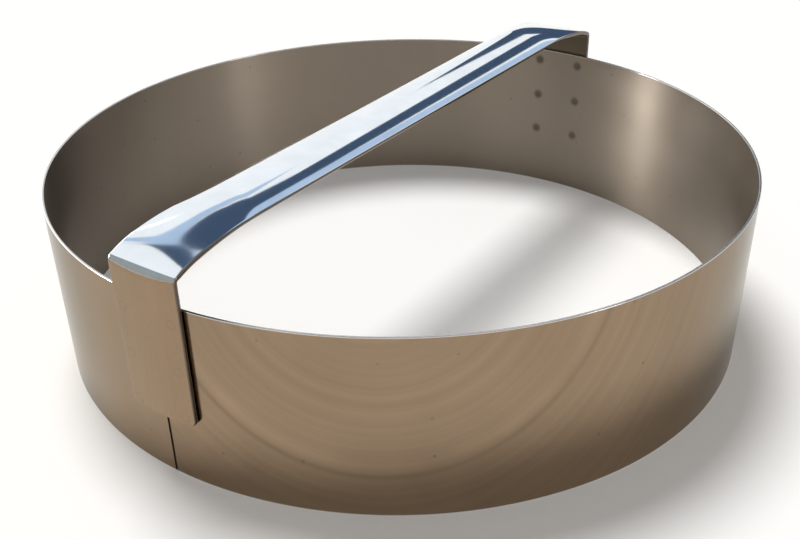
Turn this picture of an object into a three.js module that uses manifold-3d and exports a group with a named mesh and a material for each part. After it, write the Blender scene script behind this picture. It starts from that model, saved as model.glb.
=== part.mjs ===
// Round dough cutter: a ring rolled from thin steel strip, closed by a butt joint, with a polished
// strap handle formed over it and spot welded to the outside of the ring at both ends.
// Millimetres, +Z up. The origin is the ring's centre on the plane of its cutting edge, and the
// strap runs along X with the butt joint under its tab at -X.
import * as THREE from 'three';
import { mergeVertices } from 'three/addons/utils/BufferGeometryUtils.js';
import Module from 'manifold-3d';

const wasm = await Module();
wasm.setup();

// Ring
const ringDiameter = 240; // outside
const ringHeight = 60;
const ringWall = 0.8;
const seamGap = 0.6; // opening of the butt joint

// Strap
const strapWidth = 25; // along the surface, edge to edge
const strapThickness = 1.5;
const strapEdgeRound = 0.4; // how far the rounded edges stand out
const tabOverlap = 38; // reach of each tab down the ring from its rim
const tabCornerRadius = 2;
const shoulderHeight = 10.5; // rim to the top of the bend
const bendInsideRadius = 0.9; // at the strap's edges
const bendSwell = 1.6; // how much fuller the bend is in the middle of the width
const gripRise = 4; // top of the bend to the level grip, along the strap's edges
const riseLength = 28;
const gripCrown = 3.2; // height of the arched section
const crownLength = 36; // run over which the flat strap becomes arched

// Spot welds
const weldDiameter = 3.8;
const weldRows = 3;
const weldRimMargin = 2.6; // rim to the edge of the first row
const weldEndMargin = 0.6; // edge of the last row to the end of the tab
const weldSideMargin = 1.6; // edge of a weld to the side of the tab
const weldDimple = 0.15; // depth that the electrode leaves in each face

// Clearances
const tabGap = 0.3; // tab to ring
const weldClearance = 0.1; // weld to the sheets round it

// Facets
const ringSegments = 128;
const strapStrips = 10; // across the width
const cornerSteps = 3;
const bendSteps = 6;
const riseSteps = 12;
const gripSteps = 5; // from the end of the rise to the middle of the strap
const weldSegments = 16;

const ringRadius = ringDiameter / 2;
const ringInnerRadius = ringRadius - ringWall;
const tabInnerRadius = ringRadius + tabGap;
const tabOuterRadius = tabInnerRadius + strapThickness;
const tabEndHeight = ringHeight - tabOverlap;
const shoulderTop = ringHeight + shoulderHeight;
const halfWidth = strapWidth / 2;
const faceHalf = halfWidth - strapEdgeRound;

// The strap leaves the bend on the slope with which the rise starts.
const riseAngle = Math.atan(2 * gripRise / riseLength);
const bendAngle = Math.PI / 2 - riseAngle;

// Eases in and out, with no slope at either end.
function smoothStep(t) {
  const s = THREE.MathUtils.clamp(t, 0, 1);
  return s * s * (3 - 2 * s);
}

// A closed mesh as a solid for cutting, with its shared vertices merged.
function toSolid(geometry) {
  const bare = geometry.clone();
  bare.deleteAttribute('normal');
  bare.deleteAttribute('uv');
  const merged = mergeVertices(bare);
  const vertProperties = new Float32Array(merged.attributes.position.array);
  const triVerts = new Uint32Array(merged.index.array);
  return new wasm.Manifold(new wasm.Mesh({ numProp: 3, vertProperties, triVerts }));
}

function toGeometry(solid) {
  const { vertProperties, triVerts } = solid.getMesh();
  const geometry = new THREE.BufferGeometry();
  geometry.setAttribute('position', new THREE.BufferAttribute(vertProperties, 3));
  geometry.setIndex(new THREE.BufferAttribute(triVerts, 1));
  geometry.computeVertexNormals();
  return geometry;
}

function cutAll(geometry, cutters) {
  const solid = cutters.reduce((rest, cutter) => rest.subtract(toSolid(cutter)), toSolid(geometry));
  return toGeometry(solid);
}

// Weld places: two columns and three rows on each tab. Each has its angle round the ring and height.
function weldPlaces() {
  const radius = weldDiameter / 2;
  const top = ringHeight - weldRimMargin - radius;
  const bottom = tabEndHeight + weldEndMargin + radius;
  const columnAngle = Math.asin((halfWidth - weldSideMargin - radius) / tabOuterRadius);
  const places = [];
  for (const [end, middle] of [['seam', Math.PI], ['plain', 0]]) {
    for (const side of [-1, 1]) {
      for (let row = 0; row < weldRows; row += 1) {
        const height = THREE.MathUtils.lerp(top, bottom, row / (weldRows - 1));
        const column = side < 0 ? 'left' : 'right';
        places.push({ name: `${end}_weld_${column}_${row + 1}`, angle: middle + side * columnAngle, height });
      }
    }
  }
  return places;
}

// Turns a shape made round the Y axis so that it points outwards at a weld place.
function pointOutwards(geometry, { angle, height }) {
  geometry.rotateZ(-Math.PI / 2);
  geometry.rotateZ(angle);
  geometry.translate(0, 0, height);
  return geometry;
}

// The bore that a weld takes up in both sheets, from inside the ring to outside the tab.
function weldBore(place) {
  const radius = weldDiameter / 2 + weldClearance;
  const length = 2 * (tabOuterRadius - ringInnerRadius);
  const bore = new THREE.CylinderGeometry(radius, radius, length, weldSegments);
  bore.translate(0, (tabOuterRadius + ringInnerRadius) / 2, 0);
  return pointOutwards(bore, place);
}

// A spot weld: a plug of fused metal through ring and tab, dished at both ends by the electrodes.
function weldGeometry(place) {
  const radius = weldDiameter / 2;
  const dishRadius = 0.6 * radius;
  const profile = [
    new THREE.Vector2(0, ringInnerRadius + weldDimple),
    new THREE.Vector2(dishRadius, ringInnerRadius + weldDimple),
    new THREE.Vector2(radius, ringInnerRadius),
    new THREE.Vector2(radius, tabOuterRadius),
    new THREE.Vector2(dishRadius, tabOuterRadius - weldDimple),
    new THREE.Vector2(0, tabOuterRadius - weldDimple),
  ];
  return pointOutwards(new THREE.LatheGeometry(profile, weldSegments), place);
}

// The ring: a strip standing on edge, rolled round until its ends almost meet at -X.
function ringGeometry(bores) {
  const seamAngle = Math.asin(seamGap / 2 / ringRadius);
  const start = seamAngle - Math.PI;
  const end = Math.PI - seamAngle;
  const section = new THREE.Shape();
  section.absarc(0, 0, ringRadius, start, end, false);
  section.absarc(0, 0, ringInnerRadius, end, start, true);
  section.closePath();
  const settings = { depth: ringHeight, bevelEnabled: false, curveSegments: ringSegments / 2 };
  return cutAll(new THREE.ExtrudeGeometry(section, settings), bores);
}

// Stations along half the strap, from the end of the tab up over the bend to the middle of the grip.
// Each gives a point of the outer face and its normal for a place across the width, from -1 to 1.
function strapStations() {
  const stations = [];
  const bendRadius = (across) => strapThickness + bendInsideRadius + bendSwell * (1 - across * across);
  const tabPoint = (y) => Math.sqrt(tabOuterRadius ** 2 - y ** 2);

  // Tab: wrapped round the ring, with rounded corners at its end.
  for (let step = 0; step <= cornerSteps; step += 1) {
    const turn = (Math.PI / 2) * (step / cornerSteps);
    const inset = tabCornerRadius * (1 - Math.sin(turn));
    const height = tabEndHeight + tabCornerRadius * (1 - Math.cos(turn));
    stations.push((across) => {
      const y = across * (faceHalf - inset);
      const x = tabPoint(y);
      return { point: new THREE.Vector3(x, y, height), normal: new THREE.Vector3(x, y, 0).normalize() };
    });
  }

  // Bend: an arc from the upright tab to the slope of the rise, fuller in the middle of the width.
  for (let step = 0; step <= bendSteps; step += 1) {
    const turn = bendAngle * (step / bendSteps);
    stations.push((across) => {
      const y = across * faceHalf;
      const radius = bendRadius(across);
      const x = tabPoint(y) - radius * (1 - Math.cos(turn));
      const height = shoulderTop - radius * (Math.sin(bendAngle) - Math.sin(turn));
      const outward = new THREE.Vector3(tabPoint(y), y, 0).setLength(Math.cos(turn));
      return { point: new THREE.Vector3(x, y, height), normal: outward.setZ(Math.sin(turn)) };
    });
  }

  // Rise and grip: the slope eases off to level while the section arches. The strip keeps its width
  // along the surface, so the arch draws its edges in.
  const bendEnd = (across) => {
    const radius = bendRadius(across);
    return tabPoint(across * faceHalf) - radius * (1 - Math.cos(bendAngle));
  };
  const deckPoint = (across, x) => {
    const run = bendEnd(across) - x;
    const eased = 1 - Math.min(run / riseLength, 1);
    const crown = gripCrown * smoothStep(run / crownLength);
    const y = across * faceHalf * (1 - (2 / 3) * (crown / faceHalf) ** 2);
    const z = shoulderTop + gripRise * (1 - eased * eased) + crown * (1 - across * across);
    return new THREE.Vector3(x, y, z);
  };
  const deckStation = (place) => (across) => {
    const reach = 0.01;
    const x = place(across);
    const along = deckPoint(across, x + reach).sub(deckPoint(across, x - reach));
    const sideways = deckPoint(across + reach, x).sub(deckPoint(across - reach, x));
    return { point: deckPoint(across, x), normal: along.cross(sideways).normalize() };
  };
  const shapedLength = Math.max(riseLength, crownLength);
  for (let step = 1; step <= riseSteps; step += 1) {
    stations.push(deckStation((across) => bendEnd(across) - shapedLength * (step / riseSteps)));
  }
  for (let step = 1; step <= gripSteps; step += 1) {
    stations.push(deckStation((across) => (bendEnd(across) - shapedLength) * (1 - step / gripSteps)));
  }
  return stations;
}

// One closed cross-section of the strap: outer face, rounded edge, inner face, rounded edge.
function strapSection(station) {
  const outer = [];
  const inner = [];
  for (let strip = 0; strip <= strapStrips; strip += 1) {
    const { point, normal } = station(2 * strip / strapStrips - 1);
    outer.push(point);
    inner.push(point.clone().addScaledVector(normal, -strapThickness));
  }
  const roundedEdge = (edge, next) => {
    const middle = outer[edge].clone().add(inner[edge]).multiplyScalar(0.5);
    const away = outer[edge].clone().sub(outer[next]).setLength(strapEdgeRound);
    return middle.add(away);
  };
  const last = strapStrips;
  return [...outer, roundedEdge(last, last - 1), ...inner.toReversed(), roundedEdge(0, 1)];
}

// The strap handle: cross-sections lofted from tab to tab, the second half mirrored from the first.
function strapGeometry(bores) {
  const half = strapStations().map(strapSection);
  const mirrored = half.slice(0, -1).map((section) => section.map((p) => new THREE.Vector3(-p.x, p.y, p.z)));
  const sections = [...half, ...mirrored.reverse()];
  const size = sections[0].length;
  const index = [];
  for (let row = 0; row < sections.length - 1; row += 1) {
    for (let column = 0; column < size; column += 1) {
      const next = (column + 1) % size;
      const a = row * size + column;
      const b = row * size + next;
      const c = a + size;
      const d = b + size;
      index.push(a, b, c, b, d, c);
    }
  }
  // The end faces run from the outer face to the inner one, strip by strip.
  const closeEnd = (first, flip) => {
    const addFace = (a, b, c) => index.push(...(flip ? [a, c, b] : [a, b, c]));
    const opposite = (strip) => first + 2 * strapStrips + 2 - strip;
    for (let strip = 0; strip < strapStrips; strip += 1) {
      addFace(first + strip, opposite(strip), first + strip + 1);
      addFace(first + strip + 1, opposite(strip), opposite(strip + 1));
    }
    addFace(first + strapStrips, opposite(strapStrips), first + strapStrips + 1);
    addFace(first, first + size - 1, opposite(0));
  };
  closeEnd(0, false);
  closeEnd((sections.length - 1) * size, true);
  const geometry = new THREE.BufferGeometry().setFromPoints(sections.flat());
  geometry.setIndex(index);
  return cutAll(geometry, bores);
}

function addPiece(group, name, geometry, color, roughness) {
  const material = new THREE.MeshStandardMaterial({ color, roughness, metalness: 1 });
  const mesh = new THREE.Mesh(geometry, material);
  mesh.name = name;
  group.add(mesh);
}

const doughCutter = new THREE.Group();
const places = weldPlaces();
addPiece(doughCutter, 'cutting_ring', ringGeometry(places.map(weldBore)), 0x9a8a77, 0.35);
addPiece(doughCutter, 'strap_handle', strapGeometry(places.map(weldBore)), 0xd8dde3, 0.1);
for (const place of places) {
  addPiece(doughCutter, place.name, weldGeometry(place), 0x6f6558, 0.5);
}

export default doughCutter;
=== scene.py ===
"""Looks of the round dough cutter: a satin steel ring, a polished strap handle and twelve spot welds."""
import math

import bpy
import numpy as np
from bpy.props import FloatProperty, FloatVectorProperty, PointerProperty
from mathutils import Matrix, Vector


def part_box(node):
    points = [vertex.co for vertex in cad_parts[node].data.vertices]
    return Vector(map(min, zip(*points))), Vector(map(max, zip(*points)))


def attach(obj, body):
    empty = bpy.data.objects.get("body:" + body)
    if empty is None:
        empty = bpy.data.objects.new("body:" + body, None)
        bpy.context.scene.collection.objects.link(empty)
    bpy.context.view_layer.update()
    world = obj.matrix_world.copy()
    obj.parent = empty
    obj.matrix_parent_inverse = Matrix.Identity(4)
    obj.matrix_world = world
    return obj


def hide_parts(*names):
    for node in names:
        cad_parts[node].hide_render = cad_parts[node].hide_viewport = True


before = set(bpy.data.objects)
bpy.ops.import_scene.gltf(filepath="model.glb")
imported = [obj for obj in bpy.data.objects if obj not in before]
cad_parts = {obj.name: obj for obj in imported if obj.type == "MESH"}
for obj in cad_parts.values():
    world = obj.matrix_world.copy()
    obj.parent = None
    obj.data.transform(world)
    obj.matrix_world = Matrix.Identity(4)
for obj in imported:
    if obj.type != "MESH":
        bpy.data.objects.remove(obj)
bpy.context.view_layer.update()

bl_info = {
    "name": "Dough cutter",
    "version": (1, 0, 0),
    "blender": (4, 5, 0),
    "location": "View3D > Sidebar > Dough cutter",
    "description": "Dresses the dough cutter's frame with its ring, strap handle and spot welds",
    "category": "Object",
}

MM = 0.001
RING_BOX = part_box("cutting_ring")
STRAP_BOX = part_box("strap_handle")
WELD_NODES = sorted(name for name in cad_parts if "_weld_" in name)
CRISP_ANGLE = math.radians(40)
TINT_DEPTH = 0.75
TAB_TINT_SHARE = 0.14
WELD_LIFT = 0.02 * MM
BLEND = {"result": 2, "data_type": "RGBA"}
MULTIPLY = {**BLEND, "blend_type": "MULTIPLY"}


def linear(code):
    """Linear RGB of an sRGB hex colour such as #9D8973."""
    channels = np.array([int(code[start:start + 2], 16) for start in (1, 3, 5)]) / 255
    low = channels / 12.92
    high = ((channels + 0.055) / 1.055) ** 2.4
    return tuple(float(value) for value in np.where(channels <= 0.04045, low, high))


def length(name, description, millimetres):
    """A length property, written in millimetres and kept in metres."""
    return FloatProperty(
        name=name, description=description, default=millimetres * MM, unit="LENGTH", precision=5
    )


def angle(name, description, degrees):
    """An angle property, written in degrees and kept in radians."""
    return FloatProperty(
        name=name, description=description, default=math.radians(degrees), subtype="ANGLE"
    )


def colour(name, description, code):
    """A colour property, written as an sRGB hex value and kept linear."""
    return FloatVectorProperty(
        name=name, description=description, default=linear(code), subtype="COLOR", size=3, min=0, max=1
    )


class RingSettings(bpy.types.PropertyGroup):
    """Sizes and colours of the cutting ring."""

    diameter: length("Diameter", "Outside diameter", (RING_BOX[1].y - RING_BOX[0].y) / MM)
    height: length("Height", "From the cutting edge to the rim", RING_BOX[1].z / MM)
    wall: length("Wall", "Sheet thickness", 0.8)
    seam: length("Seam", "Opening of the butt joint", 0.6)
    edge: length("Edge round", "Radius of the broken edges", 0.18)
    ripple: length("Ripple", "How far the rolled wall strays from a true cylinder", 0.06)
    # Both faces are the steel's own grey with a painted reflection of a warm brown surround in their tan.
    outside: colour("Outside", "Bright rolled face", "#947F68")
    inside: colour("Inside", "Duller inner face", "#8F8477")
    sheen: colour("Edge-on sheen", "How much of the light glances off edge-on", "#E2E5E4")
    cut_edge: colour("Cut edge", "Sheared edges", "#CBC8C4")
    # The strip ends in the butt joint are painted dark: painted shade in the gap.
    seam_shade: colour("Seam", "Dark ends of the strip in the butt joint", "#2E261F")
    # The arcs are painted reflection: bright and dark curves drawn into the outside's colour, as a curved
    # mirror shows straight lines.
    arc_turn: angle("Arc turn", "Direction of the polishing arcs' middle from +X", -149)
    arc_height: length("Arc height", "Height of the polishing arcs' middle", 81.6)
    arc_radius: length("Arc radius", "Radius of the deepest polishing arc", 68)


class StrapSettings(bpy.types.PropertyGroup):
    """Sizes and colours of the strap handle."""

    width: length("Width", "Along the surface, edge to edge", 25)
    thickness: length("Thickness", "Sheet thickness", 1.5)
    edge: length("Edge round", "How far the rounded edges stand out", 0.4)
    tab_corner: length("Tab corner", "Radius of the tab's corners", 2)
    shoulder: length("Shoulder", "Rim to the top of the bend", 10.5)
    bend: length("Bend", "Inside radius at the strap's edges", 0.9)
    swell: length("Bend swell", "How much fuller the bend is in its middle", 1.6)
    rise: length("Rise", "Height of the long rise to the level grip", 3.2)
    rise_run: length("Rise run", "Run of the long rise", 28)
    roll: length("Roll", "Height of the short roll from the bend", 0.8)
    roll_run: length("Roll run", "Run of the short roll", 9)
    crown: length("Crown", "Height of the arched section", 3.2)
    crown_run: length("Crown run", "Run over which the flat strap becomes arched", 36)
    # The grip's pale blue-white is the polished steel with a painted reflection of a blue-white surround in
    # it.
    grip: colour("Grip", "Mirror-polished face", "#E9F0F6")
    # The tab's tan is likewise the steel's own grey with a painted reflection of a warm brown surround.
    tab: colour("Tab", "Satin face of the tabs", "#937D64")
    # Dark edges: partly the raw sheared steel, partly painted shade and painted dark reflection along the
    # strap's sides.
    cut_edge: colour("Cut edge", "Sheared edges", "#6B6158")
    # The inner face is rougher steel; its dark colour is painted shade under the strap.
    underside: colour("Underside", "Unpolished inner face", "#5F5548")


class WeldSettings(bpy.types.PropertyGroup):
    """Sizes and colours of the spot welds."""

    diameter: length("Diameter", "Diameter of a weld mark", 3.8)
    reach: length("Tint reach", "How far the heat tint reaches from the middle of a weld", 2.5)
    dent: length("Inner dent", "Depth of the mark inside the ring", 0.1)
    tab_dent: length("Tab dent", "Depth of the mark on the tab", 0.03)
    tint: colour("Heat tint", "Middle of a weld mark", "#3E352C")


class StageSettings(bpy.types.PropertyGroup):
    """Camera, floor and lights."""

    camera_distance: length("Camera distance", "From the middle of the ring", 385.2)
    camera_azimuth: angle("Camera azimuth", "Round the ring; 0 looks along +Y", -55.17)
    camera_elevation: angle("Camera elevation", "Above the horizon", 27.24)
    camera_pitch: angle("Camera pitch", "Aim above the middle of the ring", -5.66)
    camera_yaw: angle("Camera yaw", "Aim to the left of the middle of the ring", 0.21)
    camera_roll: angle("Camera roll", "Turn about the line of sight", -1.11)
    lens: FloatProperty(
        name="Lens", description="Focal length", default=47.71, unit="CAMERA", min=1
    )
    shift: FloatProperty(
        name="Shift", description="Rise of the lens, in picture widths", default=0.0756
    )
    floor_size: length("Floor size", "Side of the square floor", 8000)
    floor_colour: colour("Floor", "Pale matt floor", "#F4F3F1")
    floor_glow: FloatProperty(
        name="Floor glow", description="How much whiter the floor shows than it is", default=0.12
    )
    key_azimuth: angle("Key azimuth", "Direction of the key light from +X", 60)
    key_elevation: angle("Key elevation", "Height of the key light", 65)
    key_angle: angle("Key softness", "Width of the key light as seen from the floor", 24)
    key_strength: FloatProperty(name="Key strength", description="Irradiance of the key light", default=2.5)
    sky_strength: FloatProperty(name="Sky strength", description="Strength of the even light", default=0.27)


class CutterSettings(bpy.types.PropertyGroup):
    """All settings of the dough cutter."""

    ring: PointerProperty(type=RingSettings)
    strap: PointerProperty(type=StrapSettings)
    weld: PointerProperty(type=WeldSettings)
    stage: PointerProperty(type=StageSettings)


def smooth_step(values):
    """Eases from 0 to 1 with no slope at either end: 3t^2 - 2t^3 of the clipped values."""
    t = np.clip(values, 0, 1)
    return t * t * (3 - 2 * t)


def unit(vectors):
    """The vectors scaled to length 1 along their last axis."""
    return vectors / np.linalg.norm(vectors, axis=-1, keepdims=True)


def polar(radius, turn, height):
    """Points at a radius and an angle round Z, at a height."""
    return np.stack(np.broadcast_arrays(radius * np.cos(turn), radius * np.sin(turn), height), -1)


def band_faces(rows, columns):
    """Quads of a grid whose rows close on themselves and whose columns run from end to end."""
    row, column = np.meshgrid(np.arange(rows), np.arange(columns - 1), indexing="ij")
    here = row * columns + column
    above = (row + 1) % rows * columns + column
    return np.stack([here, here + 1, above + 1, above], -1).reshape(-1, 4)


def band_uv(along, around):
    """Texture coordinates of the corners of band_faces, from a value per column and per row and one more."""
    row, column = np.meshgrid(np.arange(len(around) - 1), np.arange(len(along) - 1), indexing="ij")
    u = np.stack([along[column], along[column + 1], along[column + 1], along[column]], -1)
    v = np.stack([around[row], around[row], around[row + 1], around[row + 1]], -1)
    return np.stack([u, v], -1).reshape(-1, 2)


def end_faces(rows, columns, first_row):
    """Quads that close both ends of a band: each row pairs with the one facing it across the sheet."""
    half = rows // 2
    front = (first_row + np.arange(half)) % rows * columns
    back = (first_row - 1 - np.arange(half)) % rows * columns
    start = np.stack([front[:-1], front[1:], back[1:], back[:-1]], -1)
    return np.concatenate([start, start[:, ::-1] + columns - 1])


def share(values):
    """Running length scaled from 0 to 1."""
    return (values - values[0]) / (values[-1] - values[0])


def arc_length(points):
    """Running length along a row of points."""
    steps = np.linalg.norm(np.diff(points, axis=0), axis=-1)
    return np.concatenate([[0], np.cumsum(steps)])


def add_piece(name, points, faces, uv, attributes, material, nodes):
    """A mesh, smooth but for its corners, that stands for the named nodes, rides on the body and takes the
    slot's finish."""
    mesh = bpy.data.meshes.new(name)
    mesh.from_pydata(points.tolist(), [], faces)
    mesh.shade_smooth()
    mesh.set_sharp_from_angle(angle=CRISP_ANGLE)
    if uv is not None:
        layer = mesh.uv_layers.new(name="strip")
        full = np.zeros((len(mesh.loops), 2), np.float32)
        full[:len(uv)] = uv
        layer.data.foreach_set("uv", full.ravel())
    for key, values in attributes.items():
        attribute = mesh.attributes.new(key, "FLOAT", "POINT")
        attribute.data.foreach_set("value", np.ascontiguousarray(values, np.float32).ravel())
    mesh.materials.append(material)
    piece = bpy.data.objects.new(name, mesh)
    bpy.context.scene.collection.objects.link(piece)
    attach(piece, "root")
    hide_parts(*nodes)
    return piece


def add_node(tree, kind, inputs=None, result=0, **settings):
    """Adds a node, sets its properties, links or sets its inputs, and gives the asked output."""
    node = tree.nodes.new(kind)
    for key, value in settings.items():
        setattr(node, key, value)
    for key, value in (inputs or {}).items():
        if isinstance(value, bpy.types.NodeSocket):
            tree.links.new(value, node.inputs[key])
        else:
            node.inputs[key].default_value = value
    return node.outputs[result] if node.outputs else node


def new_material(name):
    """An empty node material with its output, ready for a shader."""
    material = bpy.data.materials.new(name)
    material.use_nodes = True
    tree = material.node_tree
    tree.nodes.clear()
    output = add_node(tree, "ShaderNodeOutputMaterial")
    return material, tree, output.inputs["Surface"]


def opaque(rgb):
    """A colour socket's four values."""
    return (*rgb, 1.0)


def weld_places():
    """Each weld node's name, angle round the ring and height, from the middle of its box."""
    places = []
    for node in WELD_NODES:
        low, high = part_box(node)
        middle = (low + high) / 2
        places.append((node, math.atan2(middle.y, middle.x), middle.z))
    return places


def weld_dents(turn, height, radius, reach):
    """How deep each point of a wall lies in a weld's dent: (1 - (d / reach)^2)^2 within reach, else 0."""
    depth = np.zeros(np.broadcast_shapes(turn.shape, height.shape))
    for distance in weld_distances(turn, height, radius):
        depth += np.clip(1 - (distance / reach) ** 2, 0, None) ** 2
    return depth


def weld_distances(turn, height, radius):
    """Distance of each point of a wall from each weld's middle, along the wall."""
    for _, weld_turn, weld_height in weld_places():
        aside = radius * np.angle(np.exp(1j * (turn - weld_turn)))
        yield np.hypot(aside, height - weld_height)


def heat_tint(distance, weld):
    """Heat tint by distance from a weld's middle: deepest in its core, gone at its reach."""
    core = 0.25 * weld.diameter
    return TINT_DEPTH * smooth_step((weld.reach - distance) / (weld.reach - core))


def ring_steel(settings, weld):
    """Stainless strip, bright rolled: a satin sheen drawn out across the strip, with soft bands, faint arcs
    of painted reflection and a few specks. Its tan is partly painted reflection. The inside is duller."""
    material, tree, surface = new_material("stainless_strip_bright_rolled")
    around = math.pi * settings.diameter / MM
    across = 2 * (settings.height + settings.wall) / MM
    uv = add_node(tree, "ShaderNodeUVMap", uv_map="strip")
    inside = add_node(tree, "ShaderNodeAttribute", result="Fac", attribute_name="inside")
    edge = add_node(tree, "ShaderNodeAttribute", result="Fac", attribute_name="edge")
    seam = add_node(tree, "ShaderNodeAttribute", result="Fac", attribute_name="seam")
    tinted = add_node(tree, "ShaderNodeAttribute", result="Fac", attribute_name="weld_tint")

    # Soft bands across the strip, 24 mm apart and finer, as the rolls leave them.
    place = add_node(tree, "ShaderNodeMapping", {"Vector": uv, "Scale": (around / 24, across / 300, 1)})
    grain = {"Vector": place, "Scale": 1.0, "Detail": 4.0, "Roughness": 0.6}
    bands = add_node(tree, "ShaderNodeTexNoise", grain)
    # Smudges of handling, about 40 mm across.
    place = add_node(tree, "ShaderNodeMapping", {"Vector": uv, "Scale": (around / 42, across / 30, 1)})
    smudges = add_node(tree, "ShaderNodeTexNoise", {"Vector": place, "Scale": 1.0, "Detail": 3.0})
    # Rolling lines along the strip, drawn 0.7 mm apart, as coarse as they need to be to show.
    place = add_node(tree, "ShaderNodeMapping", {"Vector": uv, "Scale": (around / 35, across / 0.7, 1)})
    rolling = add_node(tree, "ShaderNodeTexNoise", {"Vector": place, "Scale": 1.0, "Detail": 2.0})
    # Painted reflection: fine arcs, 3 mm apart, round a point above the rim, drawn into the colour as the
    # curved outside would mirror straight lines. They are gone 150 mm from it, and the inside has none.
    middle = (-around * (settings.arc_turn / (2 * math.pi) + 0.5), -settings.arc_height / MM, 0)
    centred = {"Vector": uv, "Location": middle, "Scale": (around, across, 1)}
    place = add_node(tree, "ShaderNodeMapping", centred)
    distance = add_node(tree, "ShaderNodeVectorMath", {0: place}, result="Value", operation="LENGTH")
    steps = add_node(tree, "ShaderNodeMath", {0: distance, 1: 1 / 3}, operation="MULTIPLY")
    rings = {"W": steps, "Scale": 1.0, "Detail": 3.0}
    reflected_arcs = add_node(tree, "ShaderNodeTexNoise", rings, noise_dimensions="1D")
    fade = add_node(
        tree, "ShaderNodeMapRange",
        {"Value": distance, "From Min": 90.0, "From Max": 150.0, "To Min": 1.0, "To Max": 0.0},
    )
    outside = add_node(tree, "ShaderNodeMath", {0: fade, 1: inside}, operation="SUBTRACT", use_clamp=True)
    # Specks: one pit of about 1 mm in every other cell of a 22 mm net.
    place = add_node(tree, "ShaderNodeMapping", {"Vector": uv, "Scale": (around / 22, across / 22, 1)})
    net = {"Vector": place, "Scale": 1.0}
    cell = add_node(tree, "ShaderNodeTexVoronoi", net, result="Distance", voronoi_dimensions="2D")
    pick = add_node(tree, "ShaderNodeTexVoronoi", net, result="Color", voronoi_dimensions="2D")
    chosen = add_node(tree, "ShaderNodeMapRange", {"Value": pick, "From Min": 0.45, "From Max": 0.6})
    near = add_node(
        tree, "ShaderNodeMapRange",
        {"Value": cell, "From Min": 0.008, "From Max": 0.026, "To Min": 0.45, "To Max": 0.0},
    )
    speck = add_node(tree, "ShaderNodeMath", {0: near, 1: chosen}, operation="MULTIPLY")

    # The tan of both faces carries a painted reflection.
    faces = {0: inside, 6: opaque(settings.outside), 7: opaque(settings.inside)}
    tone = add_node(tree, "ShaderNodeMix", faces, **BLEND)
    # Bands and smudges are the steel's own uneven tone; the arcs are painted reflection.
    for pattern, change, where in ((bands, 0.03, 1.0), (smudges, 0.05, 1.0), (reflected_arcs, 0.055, outside)):
        ranged = {"Value": pattern, "From Min": 0.25, "From Max": 0.75}
        ranged.update({"To Min": 1 - change, "To Max": 1 + change})
        shade = add_node(tree, "ShaderNodeMapRange", ranged)
        tone = add_node(tree, "ShaderNodeMix", {0: where, 6: tone, 7: shade}, **MULTIPLY)
    # The deepest arc of the painted reflection, a bright band with a dark line outside it, plainer in some
    # places than in others.
    ranged = {"Value": smudges, "From Min": 0.35, "From Max": 0.6, "To Min": 0.35}
    plain = add_node(tree, "ShaderNodeMapRange", ranged)
    plain = add_node(tree, "ShaderNodeMath", {0: plain, 1: outside}, operation="MULTIPLY")
    deepest = settings.arc_radius / MM
    for radius, width, level in ((deepest - 4, 4.2, 1.13), (deepest, 1.8, 0.84)):
        off = add_node(tree, "ShaderNodeMath", {0: distance, 1: radius}, operation="SUBTRACT")
        off = add_node(tree, "ShaderNodeMath", {0: off}, operation="ABSOLUTE")
        ranged = {"Value": off, "From Max": width, "To Min": 1.0, "To Max": 0.0}
        line = add_node(tree, "ShaderNodeMapRange", ranged, interpolation_type="SMOOTHSTEP")
        line = add_node(tree, "ShaderNodeMath", {0: line, 1: plain}, operation="MULTIPLY")
        tone = add_node(tree, "ShaderNodeMix", {0: line, 6: tone, 7: (level, level, level, 1)}, **MULTIPLY)
    # Of these marks, the dark seam is painted shade in the joint; specks and heat tint are the steel's own.
    marks = (speck, weld.tint), (tinted, weld.tint), (edge, settings.cut_edge), (seam, settings.seam_shade)
    for mask, over in marks:
        tone = add_node(tree, "ShaderNodeMix", {0: mask, 6: tone, 7: opaque(over)}, **BLEND)

    satin = add_node(tree, "ShaderNodeMapRange", {"Value": inside, "To Min": 0.17, "To Max": 0.38})
    uneven = add_node(
        tree, "ShaderNodeMapRange",
        {"Value": smudges, "From Min": 0.25, "From Max": 0.75, "To Min": 0.9, "To Max": 1.12},
    )
    roughness = add_node(tree, "ShaderNodeMath", {0: satin, 1: uneven}, operation="MULTIPLY")
    glance = {0: inside, 6: opaque(settings.sheen), 7: (1, 1, 1, 1)}
    sheen = add_node(tree, "ShaderNodeMix", glance, **BLEND)
    bump = add_node(tree, "ShaderNodeBump", {"Height": rolling, "Strength": 0.1, "Distance": 0.01 * MM})
    tangent = add_node(tree, "ShaderNodeTangent", direction_type="UV_MAP", uv_map="strip")
    shader = add_node(tree, "ShaderNodeBsdfPrincipled", {
        "Base Color": tone,
        "Metallic": 1.0,
        "Roughness": roughness,
        "Anisotropic": 0.9,
        "Anisotropic Rotation": 0.25,
        "Specular Tint": sheen,
        "Normal": bump,
        "Tangent": tangent,
    })
    tree.links.new(shader, surface)
    return material


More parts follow.
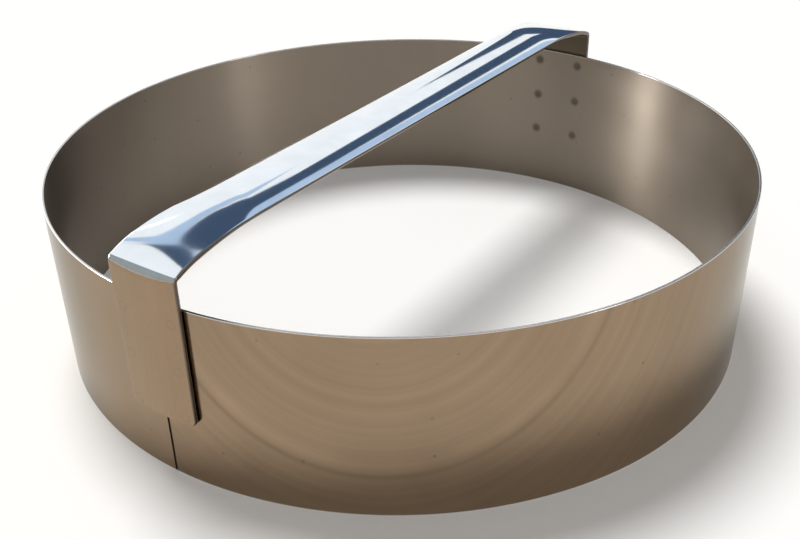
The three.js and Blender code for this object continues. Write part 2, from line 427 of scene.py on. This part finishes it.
def strap_steel(settings, strip, girth):
    """Stainless strip, buffed to a mirror on the grip and satin on the tabs, with fine buffing lines."""
    material, tree, surface = new_material("stainless_strap_mirror_buffed")
    position = add_node(tree, "ShaderNodeTexCoord", result="Object")
    buffed = add_node(tree, "ShaderNodeAttribute", result="Fac", attribute_name="buffed")
    edge = add_node(tree, "ShaderNodeAttribute", result="Fac", attribute_name="edge")
    under = add_node(tree, "ShaderNodeAttribute", result="Fac", attribute_name="underside")

    # Buffing lines along the strap, drawn 0.4 mm apart, as coarse as they need to be to show.
    uv = add_node(tree, "ShaderNodeUVMap", uv_map="strip")
    fine = (strip / (40 * MM), girth / (0.4 * MM), 1)
    place = add_node(tree, "ShaderNodeMapping", {"Vector": uv, "Scale": fine})
    lines = add_node(tree, "ShaderNodeTexNoise", {"Vector": place, "Scale": 1.0, "Detail": 2.0})
    # Clouds of uneven polish, about 16 mm across.
    clouds = add_node(tree, "ShaderNodeTexNoise", {"Vector": position, "Scale": 1 / (16 * MM), "Detail": 2.0})
    # Soft bands down the tabs, 7 mm apart.
    upright = (1 / (7 * MM), 1 / (7 * MM), 1 / (200 * MM))
    place = add_node(tree, "ShaderNodeMapping", {"Vector": position, "Scale": upright})
    bands = add_node(tree, "ShaderNodeTexNoise", {"Vector": place, "Scale": 1.0, "Detail": 2.0})

    # The tab's tan and the grip's blue-white both carry painted reflections.
    faces = {0: buffed, 6: opaque(settings.tab), 7: opaque(settings.grip)}
    tone = add_node(tree, "ShaderNodeMix", faces, **BLEND)
    for pattern, change in ((clouds, 0.03), (bands, 0.04)):
        ranged = {"Value": pattern, "From Min": 0.25, "From Max": 0.75}
        ranged.update({"To Min": 1 - change, "To Max": 1 + change})
        shade = add_node(tree, "ShaderNodeMapRange", ranged)
        tone = add_node(tree, "ShaderNodeMix", {0: 1.0, 6: tone, 7: shade}, **MULTIPLY)
    # The underside and edges are darkened: partly their own duller steel, partly painted shade, with painted
    # dark reflection on the edges.
    for mask, over in ((under, settings.underside), (edge, settings.cut_edge)):
        tone = add_node(tree, "ShaderNodeMix", {0: mask, 6: tone, 7: opaque(over)}, **BLEND)
    polish = add_node(tree, "ShaderNodeMapRange", {"Value": buffed, "To Min": 0.24, "To Max": 0.07})
    polish = add_node(tree, "ShaderNodeMix", {0: under, 2: polish, 3: 0.34}, data_type="FLOAT")
    streaked = add_node(
        tree, "ShaderNodeMapRange",
        {"Value": lines, "From Min": 0.3, "From Max": 0.7, "To Min": 0.85, "To Max": 1.25},
    )
    roughness = add_node(tree, "ShaderNodeMath", {0: polish, 1: streaked}, operation="MULTIPLY")
    bump = add_node(tree, "ShaderNodeBump", {"Height": lines, "Strength": 0.025, "Distance": 0.01 * MM})
    shader = add_node(tree, "ShaderNodeBsdfPrincipled", {
        "Base Color": tone,
        "Metallic": 1.0,
        "Roughness": roughness,
        "Normal": bump,
    })
    tree.links.new(shader, surface)
    return material


def weld_steel(weld, ring, strap):
    """Stainless weld mark, pressed and heat tinted: brown and dull in its middle, fading to the sheet. The
    tab's polish has rubbed its outer end nearly smooth."""
    material, tree, surface = new_material("stainless_weld_heat_tinted")
    position = add_node(tree, "ShaderNodeTexCoord", result="Object")
    tinted = add_node(tree, "ShaderNodeAttribute", result="Fac", attribute_name="weld_tint")
    outer = add_node(tree, "ShaderNodeAttribute", result="Fac", attribute_name="on_tab")
    # Grain of the melted skin, 0.8 mm.
    grain = add_node(tree, "ShaderNodeTexNoise", {"Vector": position, "Scale": 1 / (0.8 * MM)})
    # The sheets' tans carry the painted reflection of the ring's inside and of the tab.
    sheets = {0: outer, 6: opaque(ring.inside), 7: opaque(strap.tab)}
    sheet = add_node(tree, "ShaderNodeMix", sheets, **BLEND)
    tone = add_node(tree, "ShaderNodeMix", {0: tinted, 6: sheet, 7: opaque(weld.tint)}, **BLEND)
    rough = add_node(
        tree, "ShaderNodeMapRange",
        {"Value": grain, "From Min": 0.3, "From Max": 0.7, "To Min": 0.32, "To Max": 0.46},
    )
    rubbed = add_node(tree, "ShaderNodeMapRange", {"Value": outer, "To Min": 1.0, "To Max": 0.62})
    roughness = add_node(tree, "ShaderNodeMath", {0: rough, 1: rubbed}, operation="MULTIPLY")
    bump = add_node(tree, "ShaderNodeBump", {"Height": grain, "Strength": 0.15, "Distance": 0.02 * MM})
    shader = add_node(tree, "ShaderNodeBsdfPrincipled", {
        "Base Color": tone,
        "Metallic": 1.0,
        "Roughness": roughness,
        "Normal": bump,
    })
    tree.links.new(shader, surface)
    return material


def quarter(start, radius, steps=4):
    """Offsets of a quarter circle of the given radius, from a starting angle, both ends included."""
    turns = start + np.linspace(0, math.pi / 2, steps + 1)
    return radius * np.stack([np.cos(turns), np.sin(turns)], -1)


def ring_section(settings):
    """The ring's section as a closed loop of radius and height: up the outside, over the rim, down the
    inside and under the cutting edge, with quarter circles at its four corners. Also marks each point as
    inside or on a cut edge, and gives the first row past the middle of the rim."""
    outer = settings.diameter / 2
    inner = outer - settings.wall
    edge = settings.edge
    low, high = edge, settings.height - edge
    spread = np.concatenate([[0.004], np.linspace(0.01, 0.99, 81), [0.996]])
    outside = np.stack([np.full(len(spread), outer), low + (high - low) * spread], -1)
    rim_out = np.array([outer - edge, high]) + quarter(0, edge)
    rim_in = np.array([inner + edge, high]) + quarter(math.pi / 2, edge)
    inside = np.stack([np.full(len(spread), inner), high - (high - low) * spread], -1)
    foot_in = np.array([inner + edge, low]) + quarter(math.pi, edge)
    foot_out = np.array([outer - edge, low]) + quarter(1.5 * math.pi, edge)
    parts = [outside, rim_out, rim_in, inside, foot_in, foot_out]
    counts = [len(part) for part in parts]
    is_inside = np.repeat([0.0, 0.0, 0.0, 1.0, 0.0, 0.0], counts)
    is_edge = np.repeat([0.0, 1.0, 1.0, 0.0, 1.0, 1.0], counts)
    return np.concatenate(parts), is_inside, is_edge, counts[0] + counts[1]


def ring_stations(settings):
    """Angles round the ring from one end of the strip to the other, closer together at the two tabs."""
    gap = math.asin(settings.seam / settings.diameter)
    tab = math.radians(7)
    start, end = gap - math.pi, math.pi - gap
    tip = math.radians(0.06)
    parts = [
        [start, start + tip],
        np.linspace(start + 2 * tip, -math.pi + tab, 34),
        np.linspace(-math.pi + tab, -tab, 150)[1:-1],
        np.linspace(-tab, tab, 70),
        np.linspace(tab, math.pi - tab, 150)[1:-1],
        np.linspace(math.pi - tab, end - 2 * tip, 34),
        [end - tip, end],
    ]
    return np.concatenate(parts)


def ring_ripple(settings, turn, height):
    """Slow waves of the rolled wall: a sum of sines round the ring that twist a little with height and
    die away at the tabs, which hold the wall true."""
    level = height / settings.height
    waves = (
        0.5 * np.sin(7 * turn + 1.3 + 0.8 * level)
        + 0.3 * np.sin(12 * turn + 0.4 - 1.1 * level)
        + 0.2 * np.sin(19 * turn + 2.1)
    )
    held = 1 - np.exp(-((np.sin(turn) / math.sin(math.radians(14))) ** 2))
    return settings.ripple * waves * held


class DOUGH_CUTTER_OT_ring(bpy.types.Operator):
    """Makes the cutting ring: its section carried round the Z axis, dented on the inside at each weld"""

    bl_idname = "dough_cutter.ring"
    bl_label = "Cutting ring"

    def execute(self, context):
        cutter = context.scene.dough_cutter
        settings, weld = cutter.ring, cutter.weld
        section, inside, edge, rim_row = ring_section(settings)
        turn = ring_stations(settings)
        radius = section[:, :1]
        height = section[:, 1:]
        rows, columns = len(section), len(turn)
        dents = weld_dents(turn[None, :], height, radius, weld.diameter / 2) * inside[:, None]
        tints = [heat_tint(distance, weld) for distance in weld_distances(turn[None, :], height, radius)]
        wall = radius + weld.dent * dents + ring_ripple(settings, turn[None, :], height)
        points = polar(wall, turn[None, :], height).reshape(-1, 3)
        around = share(arc_length(np.concatenate([section, section[:1]])))
        faces = np.concatenate([band_faces(rows, columns), end_faces(rows, columns, rim_row)])
        attributes = {
            "inside": np.repeat(inside, columns),
            "edge": np.repeat(edge, columns),
            "weld_tint": sum(tints) * inside[:, None],
            # The strip ends at the joint, which take the painted shade.
            "seam": np.tile(np.abs(turn) > math.pi - 1.6 * settings.seam / settings.diameter, rows),
        }
        add_piece(
            "ring_of_rolled_strip", points, faces.tolist(), band_uv(share(turn), around), attributes,
            ring_steel(settings, weld), ["cutting_ring"],
        )
        return {"FINISHED"}


def strap_outer_face(settings, ring):
    """Half the strap's outer face and its normals, from the end of the tab to the middle of the grip.

    Across runs from 1 to -1 over the width. The tab lies on a cylinder round the ring and its end has
    rounded corners. The bend turns it in on an arc whose radius is fuller in the middle of the width. A short
    roll and a long rise, each 1 - (1 - t)^2 of its run, then ease it to level while a parabolic crown grows
    in by a smooth step, and the arch draws the edges in so that the strip keeps its width along the
    surface."""
    across = np.cos(np.linspace(0, math.pi, 57)) * 0.35 + np.linspace(1, -1, 57) * 0.65
    face_half = settings.width / 2 - settings.edge
    tab_radius = STRAP_BOX[1].x
    tab_end = STRAP_BOX[0].z
    shoulder_top = ring.height + settings.shoulder
    first_slope = 2 * settings.rise / settings.rise_run + 2 * settings.roll / settings.roll_run
    bend_angle = math.pi / 2 - math.atan(first_slope)
    bend_radius = settings.thickness + settings.bend + settings.swell * (1 - across ** 2)
    side = across * face_half
    tab_x = np.sqrt(tab_radius ** 2 - side ** 2)

    turn = np.linspace(0, math.pi / 2, 9)[:, None]
    corner_y = across * (face_half - settings.tab_corner * (1 - np.sin(turn)))
    corner_z = tab_end + settings.tab_corner * (1 - np.cos(turn))
    corner_x = np.sqrt(tab_radius ** 2 - corner_y ** 2)
    corner = np.stack(np.broadcast_arrays(corner_x, corner_y, corner_z), -1)
    corner_normal = unit(corner * (1, 1, 0))

    bend_start = shoulder_top - bend_radius * math.sin(bend_angle)
    climb = np.linspace(0, 1, 72)[1:-1, None]
    tab_z = tab_end + settings.tab_corner + climb * (bend_start - tab_end - settings.tab_corner)
    tab = np.stack(np.broadcast_arrays(tab_x, side, tab_z), -1)
    tab_normal = unit(tab * (1, 1, 0))

    turn = np.linspace(0, bend_angle, 25)[:, None]
    bend_x = tab_x - bend_radius * (1 - np.cos(turn))
    bend_z = shoulder_top - bend_radius * (math.sin(bend_angle) - np.sin(turn))
    bend = np.stack(np.broadcast_arrays(bend_x, side, bend_z), -1)
    outward = unit(np.stack([tab_x, side, 0 * side], -1))
    bend_normal = outward * np.cos(turn)[..., None] + np.array([0, 0, 1]) * np.sin(turn)[..., None]

    bend_end = tab_x - bend_radius * (1 - math.cos(bend_angle))

    def deck(place, x):
        end = np.interp(place, across[::-1], bend_end[::-1])
        run = end - x
        risen = 1 - (1 - np.minimum(run / settings.rise_run, 1)) ** 2
        rolled = 1 - (1 - np.minimum(run / settings.roll_run, 1)) ** 2
        crown = settings.crown * smooth_step(run / settings.crown_run)
        y = place * face_half * (1 - 2 / 3 * (crown / face_half) ** 2)
        z = shoulder_top + settings.rise * risen + settings.roll * rolled + crown * (1 - place ** 2)
        return np.stack(np.broadcast_arrays(x, y, z), -1)

    shaped = max(settings.rise_run, settings.crown_run)
    run = np.linspace(0, shaped, 43)[1:, None]
    level = np.linspace(1, 0, 60)[1:, None]
    deck_x = np.concatenate([bend_end - run, (bend_end - shaped) * level])
    place = np.broadcast_to(across, deck_x.shape)
    grip = deck(place, deck_x)
    along = np.gradient(grip, axis=0)
    sideways = np.gradient(grip, axis=1)
    grip_normal = unit(np.cross(along, sideways))
    points = np.concatenate([corner, tab, bend, grip])
    normals = np.concatenate([corner_normal, tab_normal, bend_normal, grip_normal])
    satin = np.zeros(len(corner) + len(tab))
    buffed = np.concatenate([satin, smooth_step((turn[:, 0] / bend_angle - 0.3) / 0.12), np.ones(len(grip))])
    return points, normals, buffed


def strap_sections(settings, ring):
    """The strap's closed sections, rows by stations: outer face, rounded edge, inner face, rounded edge.

    The inner face lies a thickness below the outer one. Each rounded edge is half an ellipse between them."""
    outer, normals, buffed = strap_outer_face(settings, ring)
    inner = outer - settings.thickness * normals
    turns = np.linspace(0, math.pi, 11)[1:-1, None]

    def rounded(edge, neighbour):
        middle = (outer[:, edge] + inner[:, edge]) / 2
        half = (outer[:, edge] - inner[:, edge]) / 2
        away = settings.edge * unit(outer[:, edge] - outer[:, neighbour])
        return middle[:, None] + half[:, None] * np.cos(turns) + away[:, None] * np.sin(turns)

    first = rounded(0, 1)[:, ::-1]
    last = rounded(-1, -2)
    loop = np.concatenate([outer, last, inner[:, ::-1], first], axis=1)
    face, rim = outer.shape[1], last.shape[1]
    counts = [face, rim, face, rim]
    edge = np.repeat([0.0, 1.0, 0.0, 1.0], counts)
    under = np.repeat([0.0, 0.0, 1.0, 0.0], counts)
    mirrored = loop[:-1][::-1] * (-1, 1, 1)
    sections = np.concatenate([loop, mirrored])
    return sections.transpose(1, 0, 2), edge, under, np.concatenate([buffed, buffed[-2::-1]])


class DOUGH_CUTTER_OT_strap(bpy.types.Operator):
    """Makes the strap handle: sections carried from tab to tab over both bends and the arched grip"""

    bl_idname = "dough_cutter.strap"
    bl_label = "Strap handle"

    def execute(self, context):
        cutter = context.scene.dough_cutter
        settings = cutter.strap
        sections, edge, under, buffed = strap_sections(settings, cutter.ring)
        rows, columns = sections.shape[:2]
        points = sections.reshape(-1, 3)
        around = arc_length(np.concatenate([sections[:, columns // 2], sections[:1, columns // 2]]))
        along = arc_length(sections[rows // 4])
        material = strap_steel(settings, along[-1], around[-1])
        faces = np.concatenate([band_faces(rows, columns), end_faces(rows, columns, rows - 5)])
        attributes = {
            # edge and underside mark the faces darkened partly as painted shade.
            "edge": np.repeat(edge, columns),
            "underside": np.repeat(under, columns),
            "buffed": np.tile(buffed, rows),
        }
        add_piece(
            "strap_of_buffed_steel", points, faces.tolist(), band_uv(share(along), share(around)), attributes,
            material, ["strap_handle"],
        )
        return {"FINISHED"}


class DOUGH_CUTTER_OT_welds(bpy.types.Operator):
    """Makes the spot welds: plugs through ring and tab with a dished face at both ends"""

    bl_idname = "dough_cutter.welds"
    bl_label = "Spot welds"

    def execute(self, context):
        cutter = context.scene.dough_cutter
        weld = cutter.weld
        material = weld_steel(weld, cutter.ring, cutter.strap)
        inner = cutter.ring.diameter / 2 - cutter.ring.wall
        outer = STRAP_BOX[1].x
        radius = weld.diameter / 2
        spread = np.concatenate([np.linspace(0, 0.95, 12)[1:], [1]])
        dish = (1 - spread ** 2) ** 2
        raised = WELD_LIFT * (1 - spread ** 8)
        inner_face = inner + weld.dent * dish - raised
        outer_face = outer - weld.tab_dent * dish + WELD_LIFT * (1 - spread ** 2)
        out = np.concatenate([spread, spread[::-1]]) * radius
        depth = np.concatenate([inner_face, outer_face[::-1]])
        tint = heat_tint(spread * radius, weld)
        heat = np.concatenate([tint, TAB_TINT_SHARE * tint[::-1]])
        on_tab = np.concatenate([0 * spread, 0 * spread + 1])
        turns = np.linspace(0, 2 * math.pi, 33)[:-1]
        rows, columns = len(out), len(turns)
        row, column = np.meshgrid(np.arange(rows - 1), np.arange(columns), indexing="ij")
        here = row * columns + column
        beside = row * columns + (column + 1) % columns
        quads = np.stack([here, beside, beside + columns, here + columns], -1).reshape(-1, 4)
        first, last = rows * columns, rows * columns + 1
        ring_index = np.arange(columns)
        following = (ring_index + 1) % columns
        end_row = (rows - 1) * columns
        inner_fan = np.stack([np.full(columns, first), following, ring_index], -1)
        outer_fan = np.stack([np.full(columns, last), end_row + ring_index, end_row + following], -1)
        faces = [*quads.tolist(), *inner_fan.tolist(), *outer_fan.tolist()]
        for node, weld_turn, weld_height in weld_places():
            aside = weld_turn + out[:, None] * np.cos(turns) / depth[:, None]
            height = weld_height + out[:, None] * np.sin(turns)
            skin = polar(depth[:, None], aside, height).reshape(-1, 3)
            poles = polar(
                np.array([inner + weld.dent - WELD_LIFT, outer - weld.tab_dent + WELD_LIFT]),
                np.full(2, weld_turn), np.full(2, weld_height),
            )
            attributes = {
                "weld_tint": np.concatenate([np.repeat(heat, columns), [tint[0], TAB_TINT_SHARE * tint[0]]]),
                "on_tab": np.concatenate([np.repeat(on_tab, columns), [0, 1]]),
            }
            add_piece(
                f"{node}_nugget", np.concatenate([skin, poles]), faces, None, attributes,
                material, [node],
            )
        return {"FINISHED"}


def direction(azimuth, elevation):
    """Unit vector at an angle from +X towards +Y and a height above the horizon."""
    flat = math.cos(elevation)
    return Vector((flat * math.cos(azimuth), flat * math.sin(azimuth), math.sin(elevation)))


def add_camera(stage, centre):
    """Camera on a sphere round the ring's middle, then pitched, turned and rolled to the view."""
    azimuth, elevation = stage.camera_azimuth, stage.camera_elevation
    back = direction(azimuth - math.pi / 2, elevation)
    right = Vector((math.cos(azimuth), math.sin(azimuth), 0))
    up = back.cross(right)
    place = centre + stage.camera_distance * back
    yaw = Matrix.Rotation(stage.camera_yaw, 3, up)
    right, back = yaw @ right, yaw @ back
    pitch = Matrix.Rotation(stage.camera_pitch, 3, right)
    up, back = pitch @ up, pitch @ back
    roll = Matrix.Rotation(stage.camera_roll, 3, back)
    right, up = roll @ right, roll @ up
    data = bpy.data.cameras.new("camera")
    data.lens = stage.lens
    data.shift_y = stage.shift
    data.clip_start, data.clip_end = 0.01, 50
    camera = bpy.data.objects.new("camera", data)
    camera.matrix_world = Matrix.Translation(place) @ Matrix((right, up, back)).transposed().to_4x4()
    bpy.context.scene.collection.objects.link(camera)
    bpy.context.scene.camera = camera


def seen_directly(tree):
    """1 for rays from the camera and for mirrored or refracted ones, else 0."""
    rays = tree.nodes.new("ShaderNodeLightPath").outputs
    pair = add_node(
        tree, "ShaderNodeMath", {0: rays["Is Camera Ray"], 1: rays["Is Glossy Ray"]}, operation="MAXIMUM"
    )
    return add_node(tree, "ShaderNodeMath", {0: pair, 1: rays["Is Transmission Ray"]}, operation="MAXIMUM")


def add_floor(stage):
    """Pale matt floor, a square patch at height 0 that keeps the shadow and shows white in the open."""
    half = stage.floor_size / 2
    corners = [(-half, -half, 0), (half, -half, 0), (half, half, 0), (-half, half, 0)]
    mesh = bpy.data.meshes.new("floor")
    mesh.from_pydata(corners, [], [(0, 1, 2, 3)])
    material, tree, surface = new_material("matt_paper_white")
    matt = add_node(tree, "ShaderNodeBsdfDiffuse", {"Color": opaque(stage.floor_colour)})
    level = add_node(
        tree, "ShaderNodeMath", {0: seen_directly(tree), 1: stage.floor_glow}, operation="MULTIPLY"
    )
    glow = add_node(tree, "ShaderNodeEmission", {"Strength": level})
    tree.links.new(add_node(tree, "ShaderNodeAddShader", {0: matt, 1: glow}), surface)
    mesh.materials.append(material)
    floor = bpy.data.objects.new("floor", mesh)
    bpy.context.scene.collection.objects.link(floor)


def add_world(stage):
    """Even light from all round, which camera and mirrors see as plain white."""
    world = bpy.data.worlds.new("studio")
    world.use_nodes = True
    tree = world.node_tree
    tree.nodes.clear()
    ranged = {"Value": seen_directly(tree), "To Min": stage.sky_strength, "To Max": 1.0}
    strength = add_node(tree, "ShaderNodeMapRange", ranged)
    background = add_node(tree, "ShaderNodeBackground", {"Strength": strength, "Color": (1, 1, 1, 1)})
    output = add_node(tree, "ShaderNodeOutputWorld")
    tree.links.new(background, output.inputs["Surface"])
    bpy.context.scene.world = world


def add_key(stage):
    """Soft key light from behind the ring, on the left. The steel mirrors the white round it instead."""
    data = bpy.data.lights.new("key", "SUN")
    data.energy = stage.key_strength
    data.angle = stage.key_angle
    key = bpy.data.objects.new("key", data)
    aim = direction(stage.key_azimuth, stage.key_elevation)
    key.rotation_mode = "QUATERNION"
    key.rotation_quaternion = aim.to_track_quat("Z", "Y")
    key.location = aim
    key.visible_glossy = False
    bpy.context.scene.collection.objects.link(key)


WHITE_CLOTH = "#FFFFFF"
BLUE_CARD = "#B8CCE4"
GREY_CARD = "#989C9A"
DARK_FLAG = "#42536A"
PANEL_DISTANCE = 6.0

# The plain panels of the studio, for the steel to mirror: name, colour, strength, azimuth and elevation of
# the middle in degrees, width and height in metres.
PANELS = (
    ("side_flag", DARK_FLAG, 1.0, 11, 38, 1.0, 3.4),
    ("top_flag", DARK_FLAG, 1.0, 45, 58, 4.6, 2.2),
    ("low_flag", DARK_FLAG, 1.0, 17, 12, 3.2, 2.2),
    ("front_flag", DARK_FLAG, 1.0, -145, 52, 6.0, 3.2),
    ("right_flag", DARK_FLAG, 1.0, -57, 52, 6.0, 3.2),
    ("blue_card", BLUE_CARD, 1.0, -5, 42, 1.4, 4.0),
    ("back_card", BLUE_CARD, 1.0, 50, 44, 3.6, 0.6),
    ("grey_card", GREY_CARD, 1.0, 141, 30, 4.6, 5.4),
    ("left_softbox", WHITE_CLOTH, 3.4, 92, 18, 6.0, 3.2),
    ("left_strip", WHITE_CLOTH, 38.0, 117, 15, 0.8, 2.5),
    ("right_strip", WHITE_CLOTH, 6.0, -87, 15, 1.2, 2.5),
)


def add_panel(centre, name, code, strength, azimuth, elevation, width, height):
    """A flat rectangle that faces the grip. Only the steel mirrors it: it throws no light or shadow."""
    aim = direction(math.radians(azimuth), math.radians(elevation))
    across = Vector((-aim.y, aim.x, 0)).normalized() * (width / 2)
    upward = aim.cross(across).normalized() * (height / 2)
    middle = centre + PANEL_DISTANCE * aim
    low, high = middle - upward, middle + upward
    corners = [low - across, low + across, high + across, high - across]
    mesh = bpy.data.meshes.new(name)
    mesh.from_pydata(corners, [], [(0, 1, 2, 3)])
    material, tree, surface = new_material(name)
    glow = add_node(tree, "ShaderNodeEmission", {"Color": opaque(linear(code)), "Strength": strength})
    tree.links.new(glow, surface)
    mesh.materials.append(material)
    panel = bpy.data.objects.new(name, mesh)
    panel.visible_camera = False
    panel.visible_diffuse = False
    panel.visible_shadow = False
    bpy.context.scene.collection.objects.link(panel)


class DOUGH_CUTTER_OT_stage(bpy.types.Operator):
    """Makes the camera, the pale floor, the even light, the key light and the panels"""

    bl_idname = "dough_cutter.stage"
    bl_label = "Stage"

    def execute(self, context):
        cutter = context.scene.dough_cutter
        stage = cutter.stage
        context.scene.view_settings.view_transform = "Standard"
        add_camera(stage, Vector((0, 0, cutter.ring.height / 2)))
        add_floor(stage)
        add_world(stage)
        add_key(stage)
        grip = Vector((0, 0, STRAP_BOX[1].z))
        for panel in PANELS:
            add_panel(grip, *panel)
        return {"FINISHED"}


class DOUGH_CUTTER_PT_panel(bpy.types.Panel):
    """Sizes, colours and build steps of the dough cutter"""

    bl_idname = "DOUGH_CUTTER_PT_panel"
    bl_label = "Dough cutter"
    bl_space_type = "VIEW_3D"
    bl_region_type = "UI"
    bl_category = "Dough cutter"

    def draw(self, context):
        cutter = context.scene.dough_cutter
        for group_name, operator in BUILD_STEPS:
            box = self.layout.box()
            group = getattr(cutter, group_name)
            for key in group.__annotations__:
                box.prop(group, key)
            box.operator(operator)


BUILD_STEPS = (
    ("stage", "dough_cutter.stage"),
    ("ring", "dough_cutter.ring"),
    ("strap", "dough_cutter.strap"),
    ("weld", "dough_cutter.welds"),
)

CLASSES = (
    RingSettings,
    StrapSettings,
    WeldSettings,
    StageSettings,
    CutterSettings,
    DOUGH_CUTTER_OT_stage,
    DOUGH_CUTTER_OT_ring,
    DOUGH_CUTTER_OT_strap,
    DOUGH_CUTTER_OT_welds,
    DOUGH_CUTTER_PT_panel,
)


def register():
    for entry in CLASSES:
        bpy.utils.register_class(entry)
    bpy.types.Scene.dough_cutter = PointerProperty(type=CutterSettings)


def unregister():
    del bpy.types.Scene.dough_cutter
    for entry in reversed(CLASSES):
        bpy.utils.unregister_class(entry)


def main():
    register()
    bpy.ops.dough_cutter.stage()
    bpy.ops.dough_cutter.ring()
    bpy.ops.dough_cutter.strap()
    bpy.ops.dough_cutter.welds()


if __name__ == "__main__":
    main()
